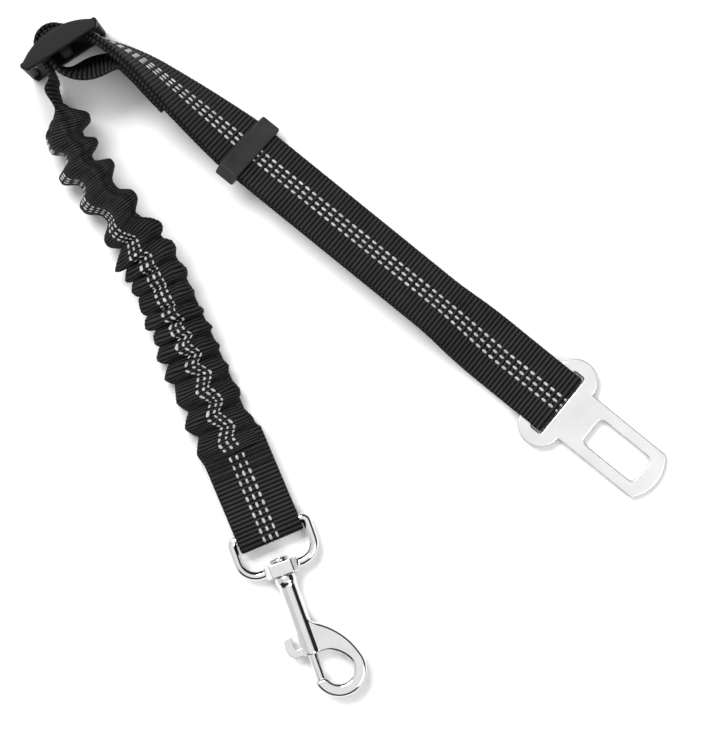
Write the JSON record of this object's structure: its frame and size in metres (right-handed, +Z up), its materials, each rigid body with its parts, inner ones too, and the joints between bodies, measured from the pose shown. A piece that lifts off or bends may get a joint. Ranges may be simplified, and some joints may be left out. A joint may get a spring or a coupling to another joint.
{
  "type": "pet car tether",
  "caption": "Elastic webbing tether with a seat-belt tongue, a tri-glide adjuster with a keeper, a gathered stretch section and a swivel bolt snap.",
  "frame": {"origin": "centre of the bounding box, on the table the tether lies on", "axes": "+Z up from the table; the strap runs from the tongue at +X to the slider at -X, and the stretch section from the slider down to the snap at -Y"},
  "size_m": [0.2392, 0.2514, 0.033],
  "materials": {
    "webbing": "matte",
    "sleeve_cloth": "matte",
    "elastic": "matte",
    "reflective_yarn": "satin",
    "thread": "satin",
    "tongue_steel": "satin",
    "chrome_plate": "polished",
    "spring_steel": "satin",
    "black_plastic": "satin"
  },
  "bodies": {
    "strap": {"webbing_face_layer": "webbing", "webbing_back_layer": "webbing", "adjuster_loop": "webbing", "loop_bartack": "thread", "strap_reflective_yarns": "reflective_yarn", "webbing_neck": "webbing", "webbing_tongue_bend": "webbing"},
    "tongue": {"tongue_plate": "tongue_steel", "tongue_fold": "webbing"},
    "keeper": {"keeper_ring": "black_plastic"},
    "slider": {"slider_frame": "black_plastic"},
    "bungee_top": {"sleeve_join": "webbing", "sleeve_join_bartack": "thread", "bungee_sleeve": "sleeve_cloth", "elastic_core": "elastic", "sleeve_reflective_yarns": "reflective_yarn"},
    "bungee_end": {"end_tab": "webbing", "end_tab_bartack": "thread", "tab_reflective_yarns": "reflective_yarn"},
    "swivel_eye": {"swivel_eye": "chrome_plate"},
    "snap": {"snap_body": "chrome_plate", "swivel_rivet": "chrome_plate", "bolt_spring": "spring_steel"},
    "bolt": {"snap_bolt": "chrome_plate"}
  },
  "joints": [
    {"name": "tongue_flex", "type": "hinge", "parent": "strap", "child": "tongue", "pos_m": [0.06701, -0.00576, 0.00301], "axis": [-0.6293, -0.7771, 0], "range_deg": [0, 80], "deforming": ["webbing_tongue_bend"]},
    {"name": "keeper_slide", "type": "slide", "parent": "strap", "child": "keeper", "axis": [-0.7771, 0.6293, 0], "range_m": [-0.085, 0]},
    {"name": "slider_tilt", "type": "hinge", "parent": "strap", "child": "slider", "pos_m": [-0.10551, 0.11615, 0.01651], "axis": [0, 0, 1], "range_deg": [0, 18]},
    {"name": "strap_flex", "type": "hinge", "parent": "strap", "child": "bungee_top", "pos_m": [-0.1079, 0.10307, 0.01609], "axis": [0, 0, 1], "range_deg": [-60, 16], "deforming": ["webbing_neck"]},
    {"name": "bungee_stretch", "type": "slide", "parent": "bungee_top", "child": "bungee_end", "axis": [0.3891, -0.9212, 0], "range_m": [0, 0.1], "stiffness_N_per_m": 250, "deforming": ["bungee_sleeve", "elastic_core", "sleeve_reflective_yarns"]},
    {"name": "eye_pivot", "type": "hinge", "parent": "bungee_end", "child": "swivel_eye", "pos_m": [-0.03015, -0.06273, 0.00441], "axis": [-0.9415, -0.3371, 0], "range_deg": [0, 110]},
    {"name": "hook_swivel", "type": "hinge", "parent": "swivel_eye", "child": "snap", "pos_m": [-0.02492, -0.07732, 0.00441], "axis": [0.3371, -0.9415, 0], "continuous": true},
    {"name": "bolt_slide", "type": "slide", "parent": "snap", "child": "bolt", "axis": [-0.3371, 0.9415, 0], "range_m": [0, 0.008], "stiffness_N_per_m": 400, "springref_m": -0.004, "deforming": ["bolt_spring"]}
  ]
}
